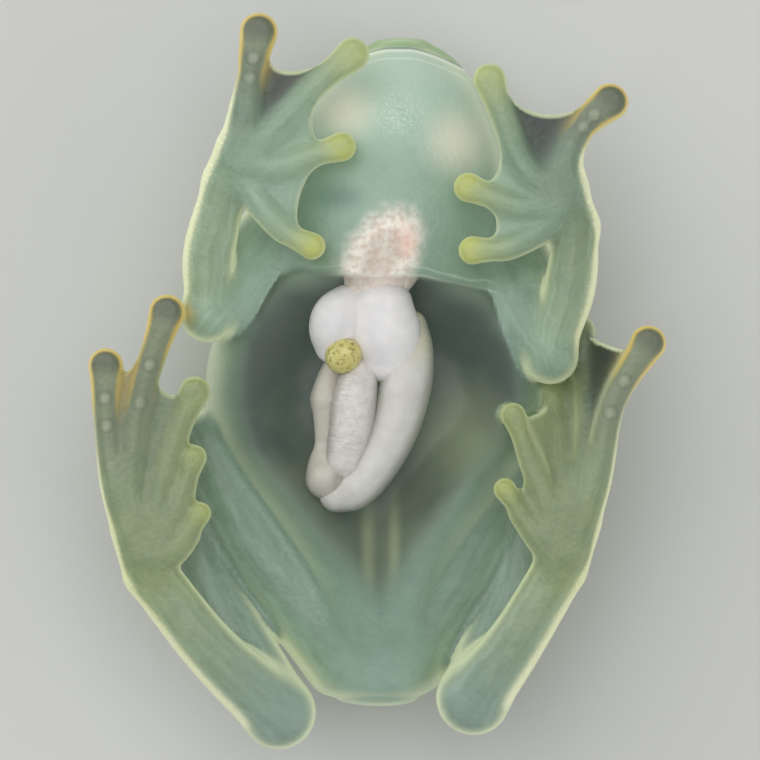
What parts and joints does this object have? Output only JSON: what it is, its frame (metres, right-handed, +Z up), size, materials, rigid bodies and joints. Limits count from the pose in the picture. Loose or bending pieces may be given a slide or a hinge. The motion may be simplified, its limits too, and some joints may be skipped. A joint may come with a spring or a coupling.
{
  "type": "glass frog",
  "caption": "Life-size still glass frog lying on its back, limbs folded, with a clear belly skin over white organs.",
  "frame": {"origin": "under the middle of the whole frog, on the level that its back rests on", "axes": "+X to the animal's left, +Y to its snout, +Z up out of its belly"},
  "size_m": [0.0206, 0.0262, 0.0082],
  "materials": {
    "skin": "moist, smooth, pale jade, a little see-through",
    "clear_skin": "clear, moist, glossy",
    "eye": "wet, golden iris with a black pupil",
    "organ": "moist white",
    "heart": "moist pinkish white",
    "gall_bladder": "moist yellow-green"
  },
  "bodies": {
    "root": {"head": "skin", "lower_jaw": "skin", "torso": "skin", "upper_arm_right": "skin", "upper_arm_left": "skin", "forearm_right": "skin", "forearm_left": "skin", "hand_right": "skin", "hand_left": "skin", "thigh_right": "skin", "thigh_left": "skin", "shank_right": "skin", "shank_left": "skin", "tarsus_right": "skin", "tarsus_left": "skin", "foot_right": "skin", "foot_left": "skin", "belly_skin": "clear_skin", "eye_right": "eye", "eye_left": "eye", "heart": "heart", "liver_large": "organ", "liver_small": "organ", "gall_bladder": "gall_bladder", "stomach": "organ", "intestine": "organ", "gut_coil": "organ"}
  },
  "joints": []
}
